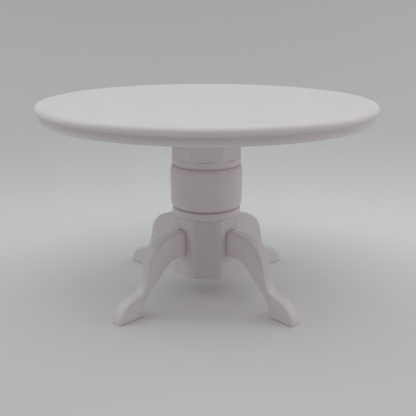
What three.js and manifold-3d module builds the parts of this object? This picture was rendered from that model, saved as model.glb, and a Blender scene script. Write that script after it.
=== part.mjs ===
// A 1:12 scale round pedestal dining table for a dolls' house, in painted wood.
//
// One moulded round top stands on one turned column. The column's two ends are planed to eight flats,
// and four cabriole legs, sawn from flat board, are pegged and glued to the lower end's diagonal flats.
// A hidden dowel joins the column to the top. Everything is glued, so nothing moves.
//
// Millimetres, +Z up. The origin is on the floor, on the column's axis, and the feet stand on z = 0.
import * as THREE from "three";
import { mergeVertices } from "three/addons/utils/BufferGeometryUtils.js";
import Module from "manifold-3d";

// The whole table: a real table 30 in high and 49 in across, at one twelfth.
const HEIGHT = 63.5;
const TOP_RADIUS = 52;

// The top's moulded edge, from the underside up: a round-bottomed band, a small cove and an overhanging lip.
const TOP_THICKNESS = 4.9;
const UNDERSIDE = HEIGHT - TOP_THICKNESS;
const BAND_RADIUS = TOP_RADIUS - 0.95;
const BAND_ARRIS = 0.6;
const COVE = 0.6;
const LIP_FOOT_Z = HEIGHT - 2.1;
const LIP_WIDEST_Z = HEIGHT - 1.45;
const LIP_ROUND = 1.4;

// The column: turned in the middle, with eight flats planed on each end.
const COLUMN_FOOT = 7.8;
const FLATS_ACROSS = 21.5;
const MAIN_FLAT_WIDTH = 9.3;
const BLANK_RADIUS = 12;
const BLOCK_ARRIS = 0.3;
const LOWER_BLOCK_TOP = 27.3;
const UPPER_BLOCK_FOOT = 45.75;
const RING_RADIUS = 11.05;
const RING_ARRIS = 0.35;
const SHOULDER_DROP = 0.9;
const LOWER_GROOVE_Z = 29.85;
const LOWER_GROOVE_RADIUS = 10.15;
const LOWER_GROOVE_HALF = 0.28;
const UPPER_GROOVE_Z = 43.55;
const UPPER_GROOVE_RADIUS = 10.35;
const UPPER_GROOVE_HALF = 0.2;
const BARREL_RADIUS = 11.55;
const BARREL_END_RADIUS = 10.6;
const BARREL_ROUND = 2.3;

// The legs, sawn from board to one outline and set on the diagonals.
const LEG_THICKNESS = 4;
const LEG_ARRIS = 0.35;
const LEG_ROOT_TOP = 23.35;
const LEG_ROOT_FOOT = 15.1;
const TOE_RADIUS = 38.1;
const HEEL_RADIUS = 28.9;

// The hidden joints: one dowel under the top and two pegs in each leg.
const DOWEL_RADIUS = 3;
const DOWEL_LENGTH = 9;
const DOWEL_IN_TOP = 2.8;
const PEG_RADIUS = 1;
const PEG_LENGTH = 8;
const PEG_PITCH = 4.4;
const PIN_CHAMFER = 0.3;
const BORE_CLEARANCE = 0.05;
const BORE_END_CLEARANCE = 0.3;
const GLUE_LINE = 0.05;

// How finely round shapes are cut.
const TOP_SEGMENTS = 96;
const COLUMN_SEGMENTS = 64;
const PIN_SEGMENTS = 16;
const CURVE_STEPS = 3;
const LEG_CURVE_STEPS = 7;
const WELD = 1e-4;

// The diagonal flats lie a little further from the axis than the main ones.
const MAIN_FLAT_REACH = FLATS_ACROSS / 2;
const DIAGONAL_FLAT_REACH = (MAIN_FLAT_REACH + MAIN_FLAT_WIDTH / 2) / Math.SQRT2;
const LEG_ROOT_RADIUS = DIAGONAL_FLAT_REACH + GLUE_LINE;
const COLUMN_TOP = UNDERSIDE - GLUE_LINE;
const DOWEL_IN_COLUMN = DOWEL_LENGTH - DOWEL_IN_TOP;
const PEG_HEIGHTS = {
  lower: (LEG_ROOT_TOP + LEG_ROOT_FOOT - PEG_PITCH) / 2,
  upper: (LEG_ROOT_TOP + LEG_ROOT_FOOT + PEG_PITCH) / 2,
};
const LEGS = [
  { side: "back_right", turn: Math.PI / 4 },
  { side: "back_left", turn: (3 * Math.PI) / 4 },
  { side: "front_left", turn: (5 * Math.PI) / 4 },
  { side: "front_right", turn: (7 * Math.PI) / 4 },
];

const PAINTED = new THREE.MeshStandardMaterial({ color: 0xe6e4e2, roughness: 0.45, metalness: 0 });
const BARE_WOOD = new THREE.MeshStandardMaterial({ color: 0xcbab7c, roughness: 0.75, metalness: 0 });

const wasm = await Module();
wasm.setup();

// A closed geometry as a solid that can be joined and cut.
function solid(geometry) {
  const bare = geometry.index ? geometry.toNonIndexed() : geometry.clone();
  bare.deleteAttribute("normal");
  bare.deleteAttribute("uv");
  const merged = mergeVertices(bare, WELD);
  return new wasm.Manifold(
    new wasm.Mesh({
      numProp: 3,
      vertProperties: merged.attributes.position.array,
      triVerts: new Uint32Array(merged.index.array),
    }),
  );
}

// A solid back as a geometry.
function geometryOf(made) {
  const mesh = made.getMesh();
  const geometry = new THREE.BufferGeometry();
  geometry.setAttribute("position", new THREE.BufferAttribute(new Float32Array(mesh.vertProperties), 3));
  geometry.setIndex(new THREE.BufferAttribute(new Uint32Array(mesh.triVerts), 1));
  geometry.computeVertexNormals();
  return geometry;
}

// A profile of radius and height, turned about the Z axis.
function turned(points, segments) {
  return new THREE.LatheGeometry(points, segments).rotateX(Math.PI / 2);
}

function named(name, geometry, material) {
  const mesh = new THREE.Mesh(geometry, material);
  mesh.name = name;
  return mesh;
}

// The round top: its underside has a blind socket for the dowel.
function tableTop() {
  const socketRadius = DOWEL_RADIUS + BORE_CLEARANCE;
  const socketEnd = UNDERSIDE + DOWEL_IN_TOP + BORE_END_CLEARANCE;
  const lipCentre = TOP_RADIUS - LIP_ROUND;
  const edge = new THREE.Path();
  edge.moveTo(0, socketEnd);
  edge.lineTo(socketRadius, socketEnd);
  edge.lineTo(socketRadius, UNDERSIDE);
  edge.lineTo(BAND_RADIUS - BAND_ARRIS, UNDERSIDE);
  edge.absarc(BAND_RADIUS - BAND_ARRIS, UNDERSIDE + BAND_ARRIS, BAND_ARRIS, -Math.PI / 2, 0);
  edge.lineTo(BAND_RADIUS, LIP_FOOT_Z - COVE);
  edge.quadraticCurveTo(BAND_RADIUS, LIP_FOOT_Z, BAND_RADIUS + COVE, LIP_FOOT_Z);
  edge.quadraticCurveTo(TOP_RADIUS, LIP_FOOT_Z + COVE / 2, TOP_RADIUS, LIP_WIDEST_Z);
  edge.absellipse(lipCentre, LIP_WIDEST_Z, LIP_ROUND, HEIGHT - LIP_WIDEST_Z, 0, Math.PI / 2);
  edge.lineTo(0, HEIGHT);
  return named("table_top", turned(edge.getPoints(CURVE_STEPS), TOP_SEGMENTS), PAINTED);
}

// The turned blank, from the foot up: lower block, ring, groove, barrel, groove, ring, upper block, bore.
function columnBlank() {
  const lowerRingTop = LOWER_GROOVE_Z - LOWER_GROOVE_HALF;
  const barrelFoot = LOWER_GROOVE_Z + LOWER_GROOVE_HALF;
  const barrelTop = UPPER_GROOVE_Z - UPPER_GROOVE_HALF;
  const upperRingFoot = UPPER_GROOVE_Z + UPPER_GROOVE_HALF;
  const boreRadius = DOWEL_RADIUS + BORE_CLEARANCE;
  const boreEnd = COLUMN_TOP - DOWEL_IN_COLUMN - BORE_END_CLEARANCE;
  const side = new THREE.Path();
  side.moveTo(0, COLUMN_FOOT);
  side.lineTo(BLANK_RADIUS - BLOCK_ARRIS, COLUMN_FOOT);
  side.lineTo(BLANK_RADIUS, COLUMN_FOOT + BLOCK_ARRIS);
  side.lineTo(BLANK_RADIUS, LOWER_BLOCK_TOP - SHOULDER_DROP);
  side.lineTo(RING_RADIUS, LOWER_BLOCK_TOP);
  side.lineTo(RING_RADIUS, lowerRingTop - RING_ARRIS);
  side.quadraticCurveTo(RING_RADIUS, lowerRingTop, RING_RADIUS - RING_ARRIS, lowerRingTop);
  side.lineTo(LOWER_GROOVE_RADIUS, LOWER_GROOVE_Z);
  side.lineTo(BARREL_END_RADIUS, barrelFoot);
  side.quadraticCurveTo(BARREL_RADIUS, barrelFoot, BARREL_RADIUS, barrelFoot + BARREL_ROUND);
  side.lineTo(BARREL_RADIUS, barrelTop - BARREL_ROUND);
  side.quadraticCurveTo(BARREL_RADIUS, barrelTop, BARREL_END_RADIUS, barrelTop);
  side.lineTo(UPPER_GROOVE_RADIUS, UPPER_GROOVE_Z);
  side.lineTo(RING_RADIUS - RING_ARRIS, upperRingFoot);
  side.quadraticCurveTo(RING_RADIUS, upperRingFoot, RING_RADIUS, upperRingFoot + RING_ARRIS);
  side.lineTo(RING_RADIUS, UPPER_BLOCK_FOOT);
  side.lineTo(BLANK_RADIUS, UPPER_BLOCK_FOOT + SHOULDER_DROP);
  side.lineTo(BLANK_RADIUS, COLUMN_TOP);
  side.lineTo(boreRadius, COLUMN_TOP);
  side.lineTo(boreRadius, boreEnd);
  side.lineTo(0, boreEnd);
  return solid(turned(side.getPoints(CURVE_STEPS), COLUMN_SEGMENTS));
}

// What the plane takes off: all outside eight flats, between two heights.
function offcuts(low, high) {
  const depth = BLANK_RADIUS;
  const cuts = [];
  for (let i = 0; i < 8; i += 1) {
    const reach = i % 2 ? DIAGONAL_FLAT_REACH : MAIN_FLAT_REACH;
    const cut = new THREE.BoxGeometry(depth, 2 * BLANK_RADIUS, high - low);
    cut.translate(reach + depth / 2, 0, (low + high) / 2);
    cuts.push(solid(cut.rotateZ((i * Math.PI) / 4)));
  }
  return cuts;
}

// A round hole or pin along +X from the given radius, at one height.
function boreAlongX(radius, start, end, height) {
  const bore = new THREE.CylinderGeometry(radius, radius, end - start, PIN_SEGMENTS);
  return bore.rotateZ(Math.PI / 2).translate((start + end) / 2, 0, height);
}

// The column: two planed ends, and two peg holes in each diagonal flat.
function column() {
  let made = columnBlank();
  const pastEnd = 1;
  const flats = [
    ...offcuts(COLUMN_FOOT - pastEnd, LOWER_BLOCK_TOP),
    ...offcuts(UPPER_BLOCK_FOOT, COLUMN_TOP + pastEnd),
  ];
  for (const cut of flats) {
    made = made.subtract(cut);
  }
  const holeEnd = DIAGONAL_FLAT_REACH - PEG_LENGTH / 2 - BORE_END_CLEARANCE;
  for (const { turn } of LEGS) {
    for (const height of Object.values(PEG_HEIGHTS)) {
      const hole = boreAlongX(PEG_RADIUS + BORE_CLEARANCE, holeEnd, BLANK_RADIUS + pastEnd, height);
      made = made.subtract(solid(hole.rotateZ(turn)));
    }
  }
  return named("pedestal_column", geometryOf(made), PAINTED);
}

// The cabriole outline in radius and height: shoulder, knee, ankle, pad foot, heel and arch.
function legOutline() {
  const pastCut = 1;
  const shoulder = 14;
  const knee = new THREE.Vector2(26, 14.5);
  const instep = new THREE.Vector2(31, 6.9);
  const archEnd = new THREE.Vector2(23.8, 9);
  const archRoot = 15;
  const outline = new THREE.Shape();
  outline.moveTo(LEG_ROOT_RADIUS - pastCut, LEG_ROOT_TOP);
  outline.lineTo(shoulder, LEG_ROOT_TOP);
  outline.bezierCurveTo(20.5, LEG_ROOT_TOP, 25.2, 20.4, knee.x, knee.y);
  outline.bezierCurveTo(26.9, 9.9, 28.2, 7.5, instep.x, instep.y);
  outline.bezierCurveTo(33.8, 6.3, 36.4, 4.9, TOE_RADIUS - 0.5, 1.8);
  outline.lineTo(TOE_RADIUS, 0);
  outline.lineTo(TOE_RADIUS, -pastCut);
  outline.lineTo(HEEL_RADIUS, -pastCut);
  outline.lineTo(HEEL_RADIUS, 0);
  outline.bezierCurveTo(HEEL_RADIUS, 3.4, 26.8, 6.9, archEnd.x, archEnd.y);
  outline.bezierCurveTo(21.9, 10.3, 18.6, LEG_ROOT_FOOT, archRoot, LEG_ROOT_FOOT);
  outline.lineTo(LEG_ROOT_RADIUS - pastCut, LEG_ROOT_FOOT);
  outline.closePath();
  return outline;
}

// One leg, standing along +X: sawn from board, arrises eased, then cut square at the root and the sole.
function legSolid() {
  const board = new THREE.ExtrudeGeometry(legOutline(), {
    depth: LEG_THICKNESS - 2 * LEG_ARRIS,
    curveSegments: LEG_CURVE_STEPS,
    bevelThickness: LEG_ARRIS,
    bevelSize: LEG_ARRIS,
    bevelOffset: -LEG_ARRIS,
    bevelSegments: 2,
  });
  board.translate(0, 0, LEG_ARRIS - LEG_THICKNESS / 2).rotateX(Math.PI / 2);
  const room = new THREE.BoxGeometry(TOE_RADIUS, 2 * LEG_THICKNESS, HEIGHT);
  room.translate(LEG_ROOT_RADIUS + TOE_RADIUS / 2, 0, HEIGHT / 2);
  let made = solid(board).intersect(solid(room));
  const holeEnd = LEG_ROOT_RADIUS + PEG_LENGTH / 2 + BORE_END_CLEARANCE;
  for (const height of Object.values(PEG_HEIGHTS)) {
    made = made.subtract(solid(boreAlongX(PEG_RADIUS + BORE_CLEARANCE, 0, holeEnd, height)));
  }
  return made;
}

// A round pin with chamfered ends, standing on z = 0.
function pin(radius, length) {
  const profile = [
    new THREE.Vector2(0, 0),
    new THREE.Vector2(radius - PIN_CHAMFER, 0),
    new THREE.Vector2(radius, PIN_CHAMFER),
    new THREE.Vector2(radius, length - PIN_CHAMFER),
    new THREE.Vector2(radius - PIN_CHAMFER, length),
    new THREE.Vector2(0, length),
  ];
  return turned(profile, PIN_SEGMENTS);
}

function topDowel() {
  const dowel = named("top_dowel", pin(DOWEL_RADIUS, DOWEL_LENGTH), BARE_WOOD);
  dowel.position.z = UNDERSIDE - DOWEL_IN_COLUMN;
  return dowel;
}

// A leg with its two pegs, in a group that turns it to its diagonal.
function leggedCorner(side, turn, legShape) {
  const corner = new THREE.Group();
  corner.rotation.z = turn;
  corner.add(named(`leg_${side}`, legShape, PAINTED));
  for (const [level, height] of Object.entries(PEG_HEIGHTS)) {
    const peg = named(`peg_${side}_${level}`, pin(PEG_RADIUS, PEG_LENGTH), BARE_WOOD);
    peg.rotation.y = Math.PI / 2;
    peg.position.set(LEG_ROOT_RADIUS - GLUE_LINE / 2 - PEG_LENGTH / 2, 0, height);
    corner.add(peg);
  }
  return corner;
}

function table() {
  const group = new THREE.Group();
  const legShape = geometryOf(legSolid());
  group.add(tableTop(), column(), topDowel());
  for (const { side, turn } of LEGS) {
    group.add(leggedCorner(side, turn, legShape));
  }
  return group;
}

export default table();
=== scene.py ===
"""Looks for a dolls' house round pedestal dining table in white painted wood.

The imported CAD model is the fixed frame. The top, the column and the legs are replaced by fine meshes with
soft painted edges, grooves and bored joints; the hidden dowel and pegs stay as the CAD made them. Sizes below
are in millimetres, and meshes are written in metres.
"""

import math

import bpy
import numpy as np
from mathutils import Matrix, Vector, geometry, noise


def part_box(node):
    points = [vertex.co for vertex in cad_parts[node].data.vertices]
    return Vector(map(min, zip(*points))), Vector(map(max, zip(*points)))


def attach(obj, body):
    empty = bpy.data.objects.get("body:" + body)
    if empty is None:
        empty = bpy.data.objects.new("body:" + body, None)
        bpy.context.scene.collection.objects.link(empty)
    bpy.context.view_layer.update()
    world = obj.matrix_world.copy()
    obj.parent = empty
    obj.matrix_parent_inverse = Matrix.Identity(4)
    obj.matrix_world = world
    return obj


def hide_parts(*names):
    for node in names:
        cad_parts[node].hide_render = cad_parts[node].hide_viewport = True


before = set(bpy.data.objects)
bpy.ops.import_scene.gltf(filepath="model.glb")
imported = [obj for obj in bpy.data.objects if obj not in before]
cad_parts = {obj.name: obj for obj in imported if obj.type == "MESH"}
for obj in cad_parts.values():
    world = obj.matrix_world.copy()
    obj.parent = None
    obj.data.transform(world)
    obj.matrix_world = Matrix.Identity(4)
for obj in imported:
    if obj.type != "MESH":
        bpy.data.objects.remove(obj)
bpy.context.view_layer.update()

MM = 0.001


def box_mm(node):
    """A CAD node's lowest and highest corners, in millimetres."""
    low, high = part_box(node)
    return np.array(low) / MM, np.array(high) / MM


# ---------------------------------------------------------------- sizes that the frame gives
TOP_LOW, TOP_HIGH = box_mm("table_top")
COLUMN_LOW, COLUMN_HIGH = box_mm("pedestal_column")
DOWEL_LOW, DOWEL_HIGH = box_mm("top_dowel")
TOP_RADIUS = float(TOP_HIGH[0])
HEIGHT = float(TOP_HIGH[2])
UNDERSIDE = float(TOP_LOW[2])
COLUMN_FOOT = float(COLUMN_LOW[2])
COLUMN_TOP = float(COLUMN_HIGH[2])
BARREL_RADIUS = float(COLUMN_HIGH[0])
LEG_ROOT_TOP = float(box_mm("leg_front_left")[1][2])
DOWEL_RADIUS = float(DOWEL_HIGH[0])

# ---------------------------------------------------------------- the top's moulded edge
BAND_RADIUS = TOP_RADIUS - 0.95
BAND_ARRIS = 0.6
COVE = 0.6
LIP_FOOT_Z = HEIGHT - 2.1
LIP_WIDEST_Z = HEIGHT - 1.45
LIP_ROUND = 1.4
TOP_SEGMENTS = 288
TOP_RING_PITCH = 3.0

# ---------------------------------------------------------------- the column
FLATS_ACROSS = 21.5
MAIN_FLAT_WIDTH = 9.3
MAIN_FLAT_REACH = FLATS_ACROSS / 2
DIAGONAL_FLAT_REACH = (MAIN_FLAT_REACH + MAIN_FLAT_WIDTH / 2) / math.sqrt(2)
BLANK_RADIUS = 11.72
LOWER_BLOCK_TOP = 27.3
UPPER_BLOCK_FOOT = 45.75
RING_RADIUS = 11.05
LOWER_RING_HEIGHT = 2.25
UPPER_RING_HEIGHT = 2.0
RING_ARRIS = 0.35
BLOCK_ARRIS = 0.22
BLOCK_TOP_ARRIS = BLOCK_ARRIS / 2
BLOCK_SHOULDER_ARRIS = 0.06
LOW_GROOVE_RADIUS = 10.15
LOW_GROOVE_HALF = 0.28
HIGH_GROOVE_RADIUS = 10.35
HIGH_GROOVE_HALF = 0.2
BARREL_END_RADIUS = 10.6
BARREL_ROUND = 2.3
LOW_GROOVE = LOWER_BLOCK_TOP + LOWER_RING_HEIGHT + LOW_GROOVE_HALF
HIGH_GROOVE = UPPER_BLOCK_FOOT - UPPER_RING_HEIGHT - HIGH_GROOVE_HALF
# The corners between the flats are crisper the higher the sharpness. Each flat's steps crowd at its edges.
CORNER_SHARPNESS = 130
FACET_STEPS = 26
STEP_CROWDING = 1.9
# How far the column's grain starts from the top's, so that the two differ.
COLUMN_GRAIN_START = (210.0, 0, 0)

# ---------------------------------------------------------------- the legs
LEG_THICKNESS = 4.0
LEG_EDGE_RADIUS = 0.65
LEG_GRID = 0.9
LEG_ROOT_FOOT = 15.1
TOE_REACH = 38.1
HEEL_REACH = 28.9
KNEE = (26.0, 14.5)
GLUE_LINE = 0.05
LEG_ROOT_REACH = DIAGONAL_FLAT_REACH + GLUE_LINE
LEG_TURNS = {"back_right": 45, "back_left": 135, "front_left": 225, "front_right": 315}
# Rings of points run round the softened edge at these angles, in degrees. A point is kept where it lies at
# least this share of the ring's inset inside the outline.
EDGE_RING_ANGLES = (75, 57, 40, 23, 0)
RING_FIT = 0.97
# How soft each stretch of the edge is, as a share of the edge radius.
FREE_EDGE = 1.0
CUT_EDGE = 0.7
CORNER_EDGE = 0.6
GLUED_EDGE = 0.35
# The board's grain runs outwards and down the leg.
GRAIN_ALONG_LEG = (0.8, 0, -0.6)
GRAIN_ACROSS_LEG = (0.6, 0, 0.8)

# ---------------------------------------------------------------- the hidden bores
BORE_CLEARANCE = 0.05
BORE_SEGMENTS = 32
DOWEL_END_ROOM = 0.3
PEG_END_ROOM = 0.6
CUT_PAST = 1.0

# ---------------------------------------------------------------- hand finishing
# How far each seed moves the noise along each axis.
SEED_STEPS = (17.3, 5.1, 9.7)
# Long and short waves in the surface, each with its height and the distance between its crests.
TOP_WAVES = ((0.035, 7), (0.012, 1.6))
COLUMN_WAVES = ((0.03, 5), (0.01, 1.2))
LEG_WAVE_HEIGHT, LEG_WAVE_PITCH = 0.05, 5
TOP_WAVE_MARGIN = 2.0
LEG_WAVE_MARGIN = 0.8
# How worn the paint is at its worst in each place, and how deep the painted shade is at its worst, from 0 to
# 1.
LIP_WEAR = 0.12
UNDER_LIP_SHADE = 0.4
LOW_GROOVE_SHADE = 0.8
HIGH_GROOVE_SHADE = 0.5
BARREL_TOP_SHADE = 0.12
LEDGE_SHADE = 0.08
BESIDE_LEG_SHADE = 0.5
LEG_ROOT_SHADE = 0.5
# Where wear starts beyond the reach of a flat, and over how far it comes to its worst; then the depths to
# which a rounded edge is worn and sawn.
CORNER_WEAR_START = 0.6
CORNER_WEAR_FADE = 0.35
WORN_DEPTH = 0.12
SAWN_DEPTH = 0.2
# Column points that reach further than this are on its outside, and not on its end faces.
OUTSIDE_REACH = 10.0

# ---------------------------------------------------------------- the set
CAMERA_DISTANCE = 190.8
CAMERA_HEIGHT = 86.6
CAMERA_PITCH = 16.97
CAMERA_YAW = 0.5
LENS_SHIFT = 0.0163
FOCAL_LENGTH = 52.8
SENSOR_WIDTH = 36.0
SHEET_FRONT = -2400.0
SHEET_HALF_WIDTH = 900.0
SHEET_CURVE_START = 105.0
SHEET_CURVE_RADIUS = 200.0
SHEET_TOP = 900.0
SHEET_CURVE_STEPS = 30
LIGHT_TARGET = (0, 0, 30)
ROOM_COLOUR = (1.0, 1.0, 1.0)
ROOM_STRENGTH = 0.18
SOFTBOXES = (
    # name, place, size, power in watts, colour
    ("overhead", (0, 0, 900), 1400, 5.35, (0.93, 0.975, 1.0)),
    ("front_steep", (0, -400, 700), 600, 0.55, (1.0, 0.80, 0.68)),
    ("left_high", (-600, 0, 600), 500, 1.08, (0.64, 1.0, 0.92)),
    ("left_low", (-600, 0, 250), 400, 0.15, (1.0, 0.8, 0.95)),
    ("right_high", (600, 0, 600), 500, 0.42, (0.45, 1.0, 0.95)),
    ("right_low", (600, 0, 250), 400, 0.38, (1.0, 1.0, 1.0)),
    ("back_left", (-450, 250, 350), 350, 0.20, (1.0, 0.6, 0.6)),
    ("back_right", (450, 250, 350), 350, 0.44, (1.0, 0.86, 0.88)),
)

# ---------------------------------------------------------------- colours
PAINT = (0.815, 0.742, 0.756)
# Lighter paint: random thick patches, and the painted highlight.
PAINT_THICK_AND_HIGHLIGHT = (0.865, 0.797, 0.811)
PAINT_THIN = (0.74, 0.665, 0.645)
# Painted shade in creases, grooves, under the lip and at the joints.
PAINTED_CREASE_SHADE = (0.66, 0.51, 0.475)
# Paint soaked into the legs' sawn edges; on the column's flats between the legs the same colour is painted
# shade.
PAINT_SOAKED_AND_SHADED = (0.715, 0.655, 0.665)
DOWEL_LIGHT = (0.66, 0.47, 0.27)
DOWEL_DARK = (0.50, 0.32, 0.16)
# Paper colour inside the painted pool of light, and away from it in painted shade.
SWEEP = (0.78, 0.75, 0.757)
SWEEP_IN_PAINTED_SHADE = (0.563, 0.543, 0.553)
SWEEP_TOOTH = (1.0, 1.0, 1.0)
# A pool of light is painted on the sheet: it is brightest round one place, and darkens between two distances
# from it, measured with each axis stretched. These are in metres.
PAINTED_LIGHT_CENTRE = (0.028, 0.042, 0.0)
SWEEP_STRETCH = (0.77, 1.35, 0.82)
SWEEP_FADE_START = 0.036
SWEEP_FADE_END = 0.22
# Stretches noise by the same amount along every axis.
EVEN = (1, 1, 1)


# ================================================================ curves, in radius and height
def line(start, end, steps):
    """Points from start up to but not including end."""
    shares = np.linspace(0, 1, steps, endpoint=False)[:, None]
    return list(np.array(start, float) * (1 - shares) + np.array(end, float) * shares)


def ellipse(centre, radii, start, end, steps):
    """Points on an elliptical arc between two angles in degrees, without the last one."""
    angles = np.radians(np.linspace(start, end, steps, endpoint=False))
    return [
        np.array([centre[0] + radii[0] * math.cos(a), centre[1] + radii[1] * math.sin(a)]) for a in angles
    ]


def quadratic(start, control, end, steps):
    """Points on a quadratic curve, without the last one."""
    p, q, r = (np.array(v, float) for v in (start, control, end))
    shares = np.linspace(0, 1, steps, endpoint=False)
    return [(1 - t) ** 2 * p + 2 * t * (1 - t) * q + t * t * r for t in shares]


def cubic(start, first, second, end, steps):
    """Points on a cubic curve, without the last one."""
    p, q, r, s = (np.array(v, float) for v in (start, first, second, end))
    shares = np.linspace(0, 1, steps, endpoint=False)
    return [
        (1 - t) ** 3 * p + 3 * (1 - t) ** 2 * t * q + 3 * (1 - t) * t * t * r + t**3 * s for t in shares
    ]


def near(value, target, width):
    """1 at the target, falling to 0 a few widths away."""
    return np.exp(-(((value - target) / width) ** 2))


# ================================================================ meshes
def wavering(points, height, pitch, seed):
    """How far a hand-finished surface stands proud at each point: soft noise, in millimetres."""
    shift = Vector([seed * step for step in SEED_STEPS])
    return np.array([noise.noise(Vector(p) / pitch + shift) for p in points]) * height


def drawn_in(points, waves, seed):
    """Long and short waves together, set back by the height of the long ones so that they stay inwards."""
    (long_height, long_pitch), (short_height, short_pitch) = waves
    long_waves = wavering(points, long_height, long_pitch, seed)
    return long_waves + wavering(points, short_height, short_pitch, seed + 1) - long_height


def mesh_object(name, vertices, faces, attributes):
    """An object from vertices in millimetres. attributes are numbers, or triples, one for each vertex."""
    mesh = bpy.data.meshes.new(name)
    mesh.from_pydata([tuple(v) for v in np.asarray(vertices) * MM], [], faces)
    mesh.validate()
    for label, values in attributes.items():
        values = np.asarray(values, np.float32)
        kind, field = ("FLOAT", "value") if values.ndim == 1 else ("FLOAT_VECTOR", "vector")
        layer = mesh.attributes.new(label, kind, "POINT")
        layer.data.foreach_set(field, values.ravel())
    mesh.polygons.foreach_set("use_smooth", [True] * len(mesh.polygons))
    mesh.update()
    made = bpy.data.objects.new(name, mesh)
    bpy.context.scene.collection.objects.link(made)
    return made


def ring_faces(rows, count):
    """Quads between rows of count points, and a fan to one point below the first row and above the last."""
    faces = []
    for row in range(rows - 1):
        low, high = row * count, (row + 1) * count
        for i in range(count):
            j = (i + 1) % count
            faces.append((low + i, low + j, high + j, high + i))
    bottom, top = rows * count, rows * count + 1
    last = (rows - 1) * count
    for i in range(count):
        j = (i + 1) % count
        faces.append((bottom, j, i))
        faces.append((top, last + i, last + j))
    return faces


def cylinder_cutter(radius, start, end):
    """A plain closed cylinder between two points, used only to bore a hole."""
    start, end = Vector(start), Vector(end)
    along = (end - start).normalized()
    side = along.orthogonal().normalized()
    other = along.cross(side)
    angles = np.linspace(0, 2 * math.pi, BORE_SEGMENTS, endpoint=False)
    spokes = [(side * math.cos(a) + other * math.sin(a)) * radius for a in angles]
    faces = [tuple(reversed(range(BORE_SEGMENTS))), tuple(range(BORE_SEGMENTS, 2 * BORE_SEGMENTS))]
    for i in range(BORE_SEGMENTS):
        j = (i + 1) % BORE_SEGMENTS
        faces.append((i, j, j + BORE_SEGMENTS, i + BORE_SEGMENTS))
    return [tuple(centre + spoke) for centre in (start, end) for spoke in spokes], faces


def bore(piece, holes):
    """Cuts round holes in a piece: each is a radius, a start and an end in millimetres."""
    vertices, faces = [], []
    for radius, start, end in holes:
        rims, sides = cylinder_cutter(radius, start, end)
        faces += [tuple(i + len(vertices) for i in face) for face in sides]
        vertices += rims
    cutter = mesh_object(piece.name + "_cutter", vertices, faces, {})
    cut = piece.modifiers.new("bore", "BOOLEAN")
    cut.operation = "DIFFERENCE"
    cut.solver = "EXACT"
    cut.object = cutter
    graph = bpy.context.evaluated_depsgraph_get()
    bored = bpy.data.meshes.new_from_object(
        piece.evaluated_get(graph), preserve_all_data_layers=True, depsgraph=graph
    )
    piece.modifiers.clear()
    piece.data = bored
    bpy.data.objects.remove(cutter)


# ================================================================ the top
def top_profile():
    """The edge of the top from the underside round to its upper face: radius and height."""
    flat_end = BAND_RADIUS - BAND_ARRIS
    band_foot = (BAND_RADIUS, UNDERSIDE + BAND_ARRIS)
    band_top = (BAND_RADIUS, LIP_FOOT_Z - COVE)
    lip_foot = (BAND_RADIUS + COVE, LIP_FOOT_Z)
    widest = (TOP_RADIUS, LIP_WIDEST_Z)
    lip_centre = (TOP_RADIUS - LIP_ROUND, LIP_WIDEST_Z)
    face_edge = (TOP_RADIUS - LIP_ROUND, HEIGHT)
    rings = int(flat_end / TOP_RING_PITCH)
    points = line((TOP_RING_PITCH, UNDERSIDE), (flat_end, UNDERSIDE), rings)
    points += ellipse((flat_end, UNDERSIDE + BAND_ARRIS), (BAND_ARRIS, BAND_ARRIS), -90, 0, 9)
    points += line(band_foot, band_top, 4)
    points += quadratic(band_top, (BAND_RADIUS, LIP_FOOT_Z), lip_foot, 6)
    points += quadratic(lip_foot, (TOP_RADIUS, LIP_FOOT_Z + COVE / 2), widest, 12)
    points += ellipse(lip_centre, (LIP_ROUND, HEIGHT - LIP_WIDEST_Z), 0, 90, 14)
    points += line(face_edge, (TOP_RING_PITCH, HEIGHT), rings)
    points.append(np.array([TOP_RING_PITCH, HEIGHT]))
    return np.array(points)


def make_top():
    """The round top: flat faces, and a moulded edge that is slightly wavy."""
    profile = top_profile()
    turns = np.linspace(0, 2 * math.pi, TOP_SEGMENTS, endpoint=False)
    radius, height = (profile[:, k][:, None] * np.ones(TOP_SEGMENTS) for k in (0, 1))
    points = np.stack([radius * np.cos(turns), radius * np.sin(turns), height], -1).reshape(-1, 3)
    reach = np.hypot(points[:, 0], points[:, 1])
    rim = np.clip((reach - BAND_RADIUS + TOP_WAVE_MARGIN) / TOP_WAVE_MARGIN, 0, 1)
    points[:, :2] *= (1 + rim * drawn_in(points, TOP_WAVES, 1) / TOP_RADIUS)[:, None]
    vertices = np.vstack([points, [[0, 0, UNDERSIDE], [0, 0, HEIGHT]]])
    reach = np.hypot(vertices[:, 0], vertices[:, 1])
    height = vertices[:, 2]
    # The lip's edge is a little worn. A painted highlight lightens the lip's foot and the band's foot, and
    # painted shade darkens the band under the lip.
    wear = LIP_WEAR * near(height, LIP_WIDEST_Z + 0.3, width=0.6) * (reach > TOP_RADIUS - 0.8)
    thick_paint_and_highlight = near(height, LIP_FOOT_Z + 0.3, width=1.0) + near(height, UNDERSIDE + 0.3, width=0.7)
    thick_paint_and_highlight *= reach > BAND_RADIUS - BAND_ARRIS
    painted_shade = UNDER_LIP_SHADE * near(height, LIP_FOOT_Z - 1.3, width=0.7) * (reach > BAND_RADIUS - 0.2)
    attributes = {"grain": vertices, "wear": wear, "painted_shade": painted_shade, "thick_paint_and_highlight": thick_paint_and_highlight}
    piece = mesh_object("painted_top", vertices, ring_faces(len(profile), TOP_SEGMENTS), attributes)
    socket_end = DOWEL_HIGH[2] + DOWEL_END_ROOM
    bore(piece, [(DOWEL_RADIUS + BORE_CLEARANCE, (0, 0, UNDERSIDE - CUT_PAST), (0, 0, socket_end))])
    return piece


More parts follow.
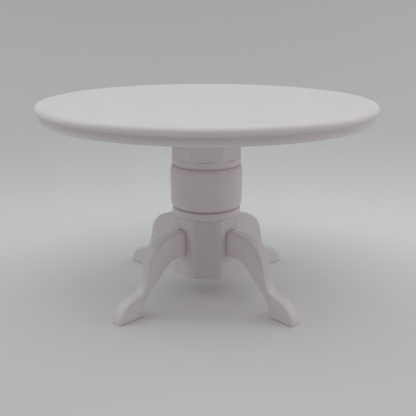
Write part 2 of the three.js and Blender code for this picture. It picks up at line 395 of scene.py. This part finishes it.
# ================================================================ the column
def column_turns():
    """Angles round the column: each of the eight flats has the same steps, closer together at its edges."""
    corner = math.atan2(MAIN_FLAT_WIDTH / 2, MAIN_FLAT_REACH)
    widths = [corner, math.pi / 4 - corner]
    steps = np.linspace(-1, 1, FACET_STEPS, endpoint=False)
    eased = np.sign(steps) * (1 - (1 - np.abs(steps)) ** STEP_CROWDING)
    return np.concatenate([k * math.pi / 4 + widths[k % 2] * eased for k in range(8)])


def flats_radius(turns, inset):
    """The reach of the eight flats at each angle, drawn in by inset."""
    share = 0
    for k in range(8):
        flat = (MAIN_FLAT_REACH, DIAGONAL_FLAT_REACH)[k % 2] - inset
        facing = np.maximum(np.cos(turns - k * math.pi / 4), 0)
        share = share + facing**CORNER_SHARPNESS / flat**CORNER_SHARPNESS
    round_share = 1.0 / (BLANK_RADIUS - inset) ** CORNER_SHARPNESS
    return (share + round_share) ** (-1 / CORNER_SHARPNESS)


def ledge_radius(turns, share):
    """The reach of a point on the flat ledge between a ring and a block: 0 at the ring and 1 at the block."""
    return RING_RADIUS + share * (flats_radius(turns, BLOCK_SHOULDER_ARRIS) - RING_RADIUS)


def block_rows(foot, top, foot_arris, top_arris):
    """Heights and insets of an eight-sided block, with a softened arris at each end."""
    eases = np.radians(np.linspace(0, 90, 5))
    rows = [(foot + foot_arris * (1 - math.sin(a)), foot_arris * (1 - math.cos(a))) for a in eases[::-1]]
    rows += [(z, 0.0) for z in np.linspace(foot + foot_arris, top - top_arris, 14)[1:-1]]
    rows += [(top - top_arris * (1 - math.sin(a)), top_arris * (1 - math.cos(a))) for a in eases]
    return rows


def turned_profile():
    """The round middle of the column, from the lower block's top to the upper block's foot."""
    ring_end = LOW_GROOVE - LOW_GROOVE_HALF
    barrel_foot = LOW_GROOVE + LOW_GROOVE_HALF
    barrel_top = HIGH_GROOVE - HIGH_GROOVE_HALF
    ring_start = HIGH_GROOVE + HIGH_GROOVE_HALF
    # Each step is the number of points, the place they run to, and the control of a curve to it.
    steps = (
        (5, (RING_RADIUS, ring_end - RING_ARRIS), None),
        (5, (RING_RADIUS - RING_ARRIS, ring_end), (RING_RADIUS, ring_end)),
        (3, (LOW_GROOVE_RADIUS, LOW_GROOVE), None),
        (3, (BARREL_END_RADIUS, barrel_foot), None),
        (10, (BARREL_RADIUS, barrel_foot + BARREL_ROUND), (BARREL_RADIUS, barrel_foot)),
        (10, (BARREL_RADIUS, barrel_top - BARREL_ROUND), None),
        (10, (BARREL_END_RADIUS, barrel_top), (BARREL_RADIUS, barrel_top)),
        (3, (HIGH_GROOVE_RADIUS, HIGH_GROOVE), None),
        (3, (RING_RADIUS - RING_ARRIS, ring_start), None),
        (5, (RING_RADIUS, ring_start + RING_ARRIS), (RING_RADIUS, ring_start)),
        (5, (RING_RADIUS, UPPER_BLOCK_FOOT), None),
    )
    here = (RING_RADIUS, LOWER_BLOCK_TOP)
    points = []
    for count, there, control in steps:
        points += quadratic(here, control, there, count) if control else line(here, there, count)
        here = there
    return points + [np.array(here)]


def make_column():
    """The turned column: two eight-sided blocks with a ringed barrel between them."""
    turns = column_turns()
    count = len(turns)
    rows = []
    for share in (0.3, 0.65, 0.95):
        rows.append((COLUMN_FOOT, share * flats_radius(turns, BLOCK_ARRIS)))
    for z, inset in block_rows(COLUMN_FOOT, LOWER_BLOCK_TOP, BLOCK_ARRIS, BLOCK_SHOULDER_ARRIS):
        rows.append((z, flats_radius(turns, inset)))
    for share in (0.85, 0.15):
        rows.append((LOWER_BLOCK_TOP, ledge_radius(turns, share)))
    for radius, z in turned_profile():
        rows.append((z, np.full(count, radius)))
    for share in (0.15, 0.85):
        rows.append((UPPER_BLOCK_FOOT, ledge_radius(turns, share)))
    for z, inset in block_rows(UPPER_BLOCK_FOOT, COLUMN_TOP, BLOCK_SHOULDER_ARRIS, BLOCK_TOP_ARRIS):
        rows.append((z, flats_radius(turns, inset)))
    for share in (0.95, 0.65, 0.3):
        rows.append((COLUMN_TOP, share * flats_radius(turns, BLOCK_TOP_ARRIS)))
    points = np.concatenate(
        [
            np.stack([radius * np.cos(turns), radius * np.sin(turns), np.full(count, z)], -1)
            for z, radius in rows
        ]
    )
    between_ends = (points[:, 2] > COLUMN_FOOT + 0.1) & (points[:, 2] < COLUMN_TOP - 0.1)
    points[:, :2] *= (1 + between_ends * drawn_in(points, COLUMN_WAVES, 3) / BARREL_RADIUS)[:, None]
    vertices = np.vstack([points, [[0, 0, COLUMN_FOOT], [0, 0, COLUMN_TOP]]])
    reach = np.hypot(vertices[:, 0], vertices[:, 1])
    height = vertices[:, 2]
    on_outside = reach > OUTSIDE_REACH
    # The blocks' corners and the foot's edge are worn.
    in_block = (height < LOWER_BLOCK_TOP) | (height > UPPER_BLOCK_FOOT)
    beyond_flat = reach - MAIN_FLAT_REACH
    wear = np.clip((beyond_flat - CORNER_WEAR_START) / CORNER_WEAR_FADE, 0, 1) * in_block
    wear = np.maximum(wear, near(height, COLUMN_FOOT, width=0.4) * on_outside)
    # Painted shade darkens the lower block's four flats between the legs, where the legs shade them, less and
    # less towards their corners.
    around = np.arctan2(vertices[:, 1], vertices[:, 0])
    shaded_between_legs = np.clip(2 * np.cos(4 * around), 0, 1) * (height < LOWER_BLOCK_TOP)
    # Painted shade darkens the grooves, the barrel's top under the upper ring, the lower ledge and the strips
    # beside the legs.
    painted_shade = LOW_GROOVE_SHADE * near(height, LOW_GROOVE, width=0.25)
    painted_shade += HIGH_GROOVE_SHADE * near(height, HIGH_GROOVE, width=0.2)
    painted_shade += BARREL_TOP_SHADE * near(height, HIGH_GROOVE - 0.6, width=0.7)
    painted_shade += LEDGE_SHADE * near(height, LOWER_BLOCK_TOP, width=0.2)
    from_leg = np.abs(reach * np.sin(around % (math.pi / 2) - math.pi / 4))
    beside_leg = near(from_leg, LEG_THICKNESS / 2 + 0.3, width=0.45)
    beside_leg *= near(height, (LEG_ROOT_FOOT + LEG_ROOT_TOP) / 2, width=4.2) * on_outside
    painted_shade += BESIDE_LEG_SHADE * beside_leg
    # The grain runs up the column.
    grain = vertices[:, [2, 0, 1]] + np.array(COLUMN_GRAIN_START)
    attributes = {"grain": grain, "wear": wear, "painted_shade": painted_shade, "sawn_and_shaded": shaded_between_legs}
    piece = mesh_object("painted_column", vertices, ring_faces(len(rows), count), attributes)
    socket_end = DOWEL_LOW[2] - DOWEL_END_ROOM
    holes = [(DOWEL_RADIUS + BORE_CLEARANCE, (0, 0, socket_end), (0, 0, COLUMN_TOP + CUT_PAST))]
    for side in LEG_TURNS:
        holes += peg_holes(side)
    bore(piece, holes)
    return piece


def peg_holes(side):
    """Bores round a leg's two CAD pegs, each a little longer and wider than its peg."""
    turn = math.radians(LEG_TURNS[side])
    along = np.array([math.cos(turn), math.sin(turn), 0])
    holes = []
    for level in ("lower", "upper"):
        low, high = box_mm(f"peg_{side}_{level}")
        centre = (low + high) / 2
        radius = (high[2] - low[2]) / 2
        half_length = (high[0] - low[0]) / (2 * abs(along[0])) - radius + PEG_END_ROOM
        ends = (centre - along * half_length, centre + along * half_length)
        holes.append((radius + BORE_CLEARANCE, *ends))
    return holes


# ================================================================ the legs
def leg_outline():
    """The cabriole outline, clockwise from the root's top: radius and height, and each point's softness."""
    root_top = (LEG_ROOT_REACH, LEG_ROOT_TOP)
    shoulder = (14.0, LEG_ROOT_TOP)
    instep = (31.0, 6.9)
    toe = (TOE_REACH - 0.5, 1.8)
    toe_foot = (TOE_REACH - 0.05, 0.3)
    sole_front = (TOE_REACH - 0.35, 0.0)
    sole_back = (HEEL_REACH + 0.25, 0.0)
    heel = (HEEL_REACH, 0.25)
    arch = (23.8, 9.0)
    root_underside = (15.0, LEG_ROOT_FOOT)
    root_foot = (LEG_ROOT_REACH, LEG_ROOT_FOOT)
    stretches = [
        (line(root_top, shoulder, 3), FREE_EDGE),
        (cubic(shoulder, (20.5, LEG_ROOT_TOP), (25.2, 20.4), KNEE, 24), FREE_EDGE),
        (cubic(KNEE, (26.9, 9.9), (28.2, 7.5), instep, 16), FREE_EDGE),
        (cubic(instep, (33.8, 6.3), (36.4, 4.9), toe, 16), FREE_EDGE),
        (line(toe, toe_foot, 4), FREE_EDGE),
        (ellipse((sole_front[0], 0.3), (0.3, 0.3), 0, -90, 4), CORNER_EDGE),
        (line(sole_front, sole_back, 8), CUT_EDGE),
        (ellipse((sole_back[0], 0.25), (0.25, 0.25), -90, -180, 4), CORNER_EDGE),
        (cubic(heel, (HEEL_REACH, 3.5), (26.8, 6.9), arch, 18), FREE_EDGE),
        (cubic(arch, (21.9, 10.3), (18.6, LEG_ROOT_FOOT), root_underside, 18), FREE_EDGE),
        (line(root_underside, root_foot, 4), FREE_EDGE),
        (line(root_foot, root_top, 8), GLUED_EDGE),
    ]
    points = np.array([p for stretch, _ in stretches for p in stretch])
    softness = np.array([soft for stretch, soft in stretches for _ in stretch])
    # Softness changes gradually from one stretch to the next.
    for _ in range(2):
        softness = (np.roll(softness, 1) + 2 * softness + np.roll(softness, -1)) / 4
    return points, softness


def inward_normals(points):
    """The unit direction into a clockwise outline at each of its points."""
    edges = np.roll(points, -1, 0) - points
    edges /= np.linalg.norm(edges, axis=1)[:, None]
    along = edges + np.roll(edges, 1, 0)
    along /= np.linalg.norm(along, axis=1)[:, None]
    return np.stack([along[:, 1], -along[:, 0]], -1)


def depth_inside(points, outline):
    """How far each point lies inside a clockwise outline, negative outside it."""
    starts, edges = outline[None], (np.roll(outline, -1, 0) - outline)[None]
    away = points[:, None] - starts
    share = np.clip((away * edges).sum(-1) / (edges**2).sum(-1), 0, 1)
    nearest = np.linalg.norm(away - share[..., None] * edges, axis=-1).min(1)
    x, y = points[:, 0][:, None], points[:, 1][:, None]
    ends = starts + edges
    spans = (starts[..., 1] > y) != (ends[..., 1] > y)
    rise = np.where(edges[..., 1] == 0, 1.0, edges[..., 1])
    to_the_right = starts[..., 0] + (y - starts[..., 1]) * edges[..., 0] / rise > x
    return np.where((spans & to_the_right).sum(1) % 2 == 1, nearest, -nearest)


def leg_side(outline, softness):
    """One side of a leg: its points, how far each is rounded back, its softness, and the triangles."""
    radius = LEG_EDGE_RADIUS * softness
    inward = inward_normals(outline)
    inner = []
    for angle in np.radians(EDGE_RING_ANGLES):
        inset = radius * (1 - math.sin(angle))
        moved = outline + inward * inset[:, None]
        inner.append(moved[depth_inside(moved, outline) > inset * RING_FIT])
    low, high = outline.min(0), outline.max(0)
    columns = np.arange(low[0], high[0], LEG_GRID)
    rows = np.arange(low[1], high[1], LEG_GRID * math.sqrt(3) / 2)
    grid = np.array([(x + (k % 2) * LEG_GRID / 2, y) for k, y in enumerate(rows) for x in columns])
    inner.append(grid[depth_inside(grid, outline) > LEG_EDGE_RADIUS + LEG_GRID / 3])
    points = np.vstack([outline] + inner)
    inside_only, tolerance = 1, 1e-6
    _, _, triangles, sources, _, _ = geometry.delaunay_2d_cdt(
        [Vector(p) for p in points], [], [list(range(len(outline)))], inside_only, tolerance
    )
    faces = [[sources[corner][0] for corner in triangle] for triangle in triangles]
    closest = np.linalg.norm(points[:, None] - outline[None], axis=-1).argmin(1)
    depth = np.maximum(depth_inside(points, outline), 0)
    depth[: len(outline)] = 0
    reach = np.minimum(depth, radius[closest])
    back = radius[closest] - np.sqrt(radius[closest] ** 2 - (radius[closest] - reach) ** 2)
    return points, back, softness[closest], faces


def make_leg(side):
    """A leg sawn from flat board: two sides with rounded edges, joined by the sawn edge between them."""
    outline, softness = leg_outline()
    points, back, soft, triangles = leg_side(outline, softness)
    count, total = len(outline), len(points)
    half = LEG_THICKNESS / 2
    flat = [np.column_stack([points[:, 0], sign * (half - back), points[:, 1]]) for sign in (-1, 1)]
    shares = (-0.5, 0.0, 0.5)
    edge = (half - back)[:count]
    flat += [np.column_stack([outline[:, 0], share * edge, outline[:, 1]]) for share in shares]
    flat = np.concatenate(flat)
    faces = [tuple(t) for t in triangles] + [tuple(total + i for i in reversed(t)) for t in triangles]
    rows = [0] + [2 * total + k * count for k in range(len(shares))] + [total]
    for first, second in zip(rows, rows[1:]):
        for i in range(count):
            j = (i + 1) % count
            faces.append((first + i, first + j, second + j, second + i))
    # Rounded edges are worn, and the sawn edge between them soaks up paint.
    soft = np.concatenate([soft, soft] + [softness] * len(shares))
    rounded = np.concatenate([back, back] + [np.zeros(count)] * len(shares))
    wear = np.clip(rounded / WORN_DEPTH, 0, 1) * (soft > CUT_EDGE)
    sawn_and_shaded = np.clip((rounded - WORN_DEPTH) / SAWN_DEPTH, 0, 1)
    sawn_and_shaded[2 * total :] = 1
    # The sides are sanded unevenly, except at the sole and the root.
    seed = LEG_TURNS[side]
    thinning = np.abs(wavering(flat, LEG_WAVE_HEIGHT, LEG_WAVE_PITCH, seed))
    thinning *= np.clip(flat[:, 2] / LEG_WAVE_MARGIN, 0, 1)
    thinning *= np.clip((flat[:, 0] - LEG_ROOT_REACH) / LEG_WAVE_MARGIN, 0, 1)
    flat[:, 1] *= 1 - thinning / half
    # Painted shade darkens the leg against the column, and a painted highlight lightens the edges that face
    # up above the knee.
    painted_shade = LEG_ROOT_SHADE * near(flat[:, 0], LEG_ROOT_REACH, width=0.4)
    above_knee = outline[:, 1] > KNEE[1] - 0.5
    upward = np.clip(-inward_normals(outline)[:, 1], 0, 1) * above_knee
    thick_paint_and_highlight = np.concatenate([np.zeros(2 * total)] + [upward] * len(shares))
    # The grain differs from leg to leg.
    along_grain = flat @ np.array(GRAIN_ALONG_LEG) + seed * 3
    across_grain = flat @ np.array(GRAIN_ACROSS_LEG)
    grain = np.column_stack([along_grain, flat[:, 1] + seed, across_grain])
    cos, sin = math.cos(math.radians(seed)), math.sin(math.radians(seed))
    x, y, z = flat.T
    turned = np.column_stack([x * cos - y * sin, x * sin + y * cos, z])
    attributes = {"grain": grain, "wear": wear, "painted_shade": painted_shade, "sawn_and_shaded": sawn_and_shaded, "thick_paint_and_highlight": thick_paint_and_highlight}
    piece = mesh_object(f"painted_leg_{side}", turned, faces, attributes)
    bore(piece, peg_holes(side))
    return piece


# ================================================================ materials
class Nodes:
    """A material's node tree, with one call for each kind of node that is used below."""

    def __init__(self, name):
        self.material = bpy.data.materials.new(name)
        self.material.use_nodes = True
        self.tree = self.material.node_tree
        self.shader = self.tree.nodes["Principled BSDF"]

    def add(self, kind, **settings):
        node = self.tree.nodes.new(kind)
        for key, value in settings.items():
            setattr(node, key, value)
        return node

    def link(self, output, target):
        self.tree.links.new(output, target)

    def attribute(self, name, output="Fac"):
        return self.add("ShaderNodeAttribute", attribute_name=name).outputs[output]

    def place(self):
        """Where a point is on its object, in metres."""
        return self.add("ShaderNodeTexCoord").outputs["Object"]

    def vector(self, operation, first, second=None):
        made = self.add("ShaderNodeVectorMath", operation=operation)
        self.link(first, made.inputs[0])
        if second is not None:
            made.inputs[1].default_value = second
        return made.outputs["Value" if operation == "LENGTH" else "Vector"]

    def noise(self, vector, stretch, scale, detail, roughness):
        """Noise from 0 to 1. stretch multiplies each axis of the vector before the noise."""
        mapping = self.add("ShaderNodeMapping")
        mapping.inputs["Scale"].default_value = stretch
        self.link(vector, mapping.inputs["Vector"])
        made = self.add("ShaderNodeTexNoise")
        made.inputs["Scale"].default_value = scale
        made.inputs["Detail"].default_value = detail
        made.inputs["Roughness"].default_value = roughness
        self.link(mapping.outputs["Vector"], made.inputs["Vector"])
        return made.outputs["Fac"]

    def ramp(self, value, low, high, start=0.0, end=1.0):
        """Maps low to high onto start to end, clamped."""
        made = self.add("ShaderNodeMapRange")
        for key, number in (("From Min", low), ("From Max", high), ("To Min", start), ("To Max", end)):
            made.inputs[key].default_value = number
        self.link(value, made.inputs["Value"])
        return made.outputs["Result"]

    def math(self, operation, first, second):
        made = self.add("ShaderNodeMath", operation=operation)
        self.link(first, made.inputs[0])
        self.link(second, made.inputs[1])
        return made.outputs["Value"]

    def mix(self, share, first, second):
        """A colour between two, of which the first is a colour or a socket."""
        made = self.add("ShaderNodeMix", data_type="RGBA")
        self.link(share, made.inputs["Factor"])
        if isinstance(first, tuple):
            made.inputs[6].default_value = (*first, 1.0)
        else:
            self.link(first, made.inputs[6])
        made.inputs[7].default_value = (*second, 1.0)
        return made.outputs[2]

    def bump(self, height, distance, strength, normal=None):
        """A bump map on top of another normal. distance is in metres."""
        made = self.add("ShaderNodeBump")
        made.inputs["Strength"].default_value = strength
        made.inputs["Distance"].default_value = distance
        self.link(height, made.inputs["Height"])
        if normal is not None:
            self.link(normal, made.inputs["Normal"])
        return made.outputs["Normal"]


def painted_wood():
    """Satin white paint, brushed thinly over fine-grained wood and sanded at its edges, with painted shade
    and painted highlights mixed into its colour.
    """
    n = Nodes("painted_wood")
    grain = n.attribute("grain", "Vector")
    clouds = n.noise(grain, EVEN, scale=0.11, detail=5, roughness=0.55)
    streaks = n.noise(grain, stretch=(0.06, 1, 1), scale=1.3, detail=6, roughness=0.6)
    fibres = n.noise(grain, stretch=(0.08, 1, 1), scale=4.5, detail=4, roughness=0.6)
    speckle = n.noise(grain, EVEN, scale=3.2, detail=3, roughness=0.5)
    scuffs = n.noise(grain, EVEN, scale=0.7, detail=5, roughness=0.6)
    shade_patches = n.noise(grain, EVEN, scale=0.16, detail=4, roughness=0.55)

    # Lighter paint comes from random thick patches and from the painted highlight.
    thick_paint_and_highlight = n.math("MAXIMUM", n.ramp(clouds, 0.35, 0.68, end=0.4), n.attribute("thick_paint_and_highlight"))
    worn = n.math("MULTIPLY", n.attribute("wear"), n.ramp(scuffs, 0.42, 0.7, end=0.7))
    # Sawn leg edges soak up paint; the column's flats between the legs get the same colour as painted shade.
    soaked_and_shaded = n.math("MULTIPLY", n.attribute("sawn_and_shaded"), n.ramp(streaks, 0.3, 0.7, start=0.45, end=0.85))
    # Painted shade in creases, grooves and joints, in uneven patches.
    shade_amount = n.math("MULTIPLY", n.attribute("painted_shade"), n.ramp(shade_patches, 0.35, 0.65, start=0.35, end=0.7))
    colour = n.mix(thick_paint_and_highlight, PAINT, PAINT_THICK_AND_HIGHLIGHT)
    colour = n.mix(n.ramp(streaks, 0.55, 0.8, end=0.25), colour, PAINT_THIN)
    colour = n.mix(worn, colour, PAINT_THIN)
    colour = n.mix(soaked_and_shaded, colour, PAINT_SOAKED_AND_SHADED)
    colour = n.mix(shade_amount, colour, PAINTED_CREASE_SHADE)
    n.link(colour, n.shader.inputs["Base Color"])

    satin = n.ramp(clouds, 0.3, 0.7, start=0.40, end=0.50)
    rough = n.math("ADD", satin, n.ramp(speckle, 0.3, 0.7, start=-0.04, end=0.04))
    n.link(rough, n.shader.inputs["Roughness"])
    normal = n.bump(streaks, distance=0.00003, strength=0.5)
    normal = n.bump(fibres, distance=0.000012, strength=0.5, normal=normal)
    normal = n.bump(speckle, distance=0.00001, strength=0.4, normal=normal)
    n.link(normal, n.shader.inputs["Normal"])
    return n.material


def bare_wood():
    """Unpainted birch dowel, with its grain in fine lines along one axis of the table."""
    n = Nodes("bare_wood")
    place = n.place()
    rings = n.noise(place, stretch=(300, 1400, 1400), scale=1.0, detail=5, roughness=0.6)
    fibres = n.noise(place, stretch=(500, 5000, 5000), scale=1.0, detail=3, roughness=0.6)
    n.link(n.mix(n.ramp(rings, 0.35, 0.7), DOWEL_LIGHT, DOWEL_DARK), n.shader.inputs["Base Color"])
    n.link(n.ramp(fibres, 0.3, 0.7, start=0.62, end=0.8), n.shader.inputs["Roughness"])
    n.link(n.bump(fibres, distance=0.00002, strength=0.6), n.shader.inputs["Normal"])
    return n.material


def sweep_paper():
    """Matt pale paper with a faint tooth, and a painted pool of light that darkens away from the table."""
    n = Nodes("sweep_paper")
    place = n.place()
    away = n.vector("SUBTRACT", place, PAINTED_LIGHT_CENTRE)
    reach = n.vector("LENGTH", n.vector("MULTIPLY", away, SWEEP_STRETCH))
    tooth = n.noise(place, EVEN, scale=900, detail=3, roughness=0.5)
    colour = n.mix(n.ramp(reach, SWEEP_FADE_START, SWEEP_FADE_END), SWEEP, SWEEP_IN_PAINTED_SHADE)
    colour = n.mix(n.ramp(tooth, 0.3, 0.7, end=0.03), colour, SWEEP_TOOTH)
    n.link(colour, n.shader.inputs["Base Color"])
    n.shader.inputs["Roughness"].default_value = 0.75
    n.shader.inputs["Specular IOR Level"].default_value = 0.2
    return n.material


# ================================================================ the set
def make_sweep():
    """A seamless sheet: flat under the table, then curving up behind it."""
    section = [(SHEET_FRONT, 0.0), (SHEET_CURVE_START, 0.0)]
    for angle in np.radians(np.linspace(3, 90, SHEET_CURVE_STEPS)):
        back = SHEET_CURVE_START + SHEET_CURVE_RADIUS * math.sin(angle)
        section.append((back, SHEET_CURVE_RADIUS * (1 - math.cos(angle))))
    section.append((SHEET_CURVE_START + SHEET_CURVE_RADIUS, SHEET_TOP))
    vertices = [(x, y, z) for y, z in section for x in (-SHEET_HALF_WIDTH, SHEET_HALF_WIDTH)]
    faces = [(2 * i, 2 * i + 1, 2 * i + 3, 2 * i + 2) for i in range(len(section) - 1)]
    sheet = mesh_object("sweep", vertices, faces, {})
    sheet.data.materials.append(sweep_paper())


def softbox(name, place, size, power, colour):
    """A square area light at a place in millimetres, turned to face the table."""
    light = bpy.data.lights.new(name, "AREA")
    light.shape = "SQUARE"
    light.size = size * MM
    light.energy = power
    light.color = colour
    holder = bpy.data.objects.new(name, light)
    holder.location = Vector(place) * MM
    holder.rotation_euler = (Vector(LIGHT_TARGET) - Vector(place)).to_track_quat("-Z", "Y").to_euler()
    bpy.context.scene.collection.objects.link(holder)


def make_lights():
    """A tent of soft light: one wide panel overhead and weaker ones round the sides."""
    world = bpy.data.worlds.new("room")
    world.use_nodes = True
    background = world.node_tree.nodes["Background"]
    background.inputs["Color"].default_value = (*ROOM_COLOUR, 1)
    background.inputs["Strength"].default_value = ROOM_STRENGTH
    bpy.context.scene.world = world
    for settings in SOFTBOXES:
        softbox(*settings)


def make_camera():
    """A camera in front of the table and above it, looking slightly down."""
    camera = bpy.data.cameras.new("camera")
    camera.sensor_width = SENSOR_WIDTH
    camera.lens = FOCAL_LENGTH
    camera.shift_x = LENS_SHIFT
    camera.clip_start = 0.01
    holder = bpy.data.objects.new("camera", camera)
    holder.location = (0, -CAMERA_DISTANCE * MM, CAMERA_HEIGHT * MM)
    holder.rotation_euler = (math.radians(90 - CAMERA_PITCH), 0, math.radians(CAMERA_YAW))
    bpy.context.scene.collection.objects.link(holder)
    bpy.context.scene.camera = holder


def main():
    """Builds the table around the frame, then the set."""
    paint = painted_wood()
    pieces = {"table_top": make_top(), "pedestal_column": make_column()}
    for side in LEG_TURNS:
        pieces[f"leg_{side}"] = make_leg(side)
    for node, piece in pieces.items():
        piece.data.materials.clear()
        piece.data.materials.append(paint)
        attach(piece, "root")
        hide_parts(node)
    dowel_wood = bare_wood()
    for node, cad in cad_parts.items():
        if node not in pieces:
            cad.data.materials.clear()
            cad.data.materials.append(dowel_wood)
    make_sweep()
    make_lights()
    make_camera()
    bpy.context.scene.view_settings.view_transform = "Standard"


main()
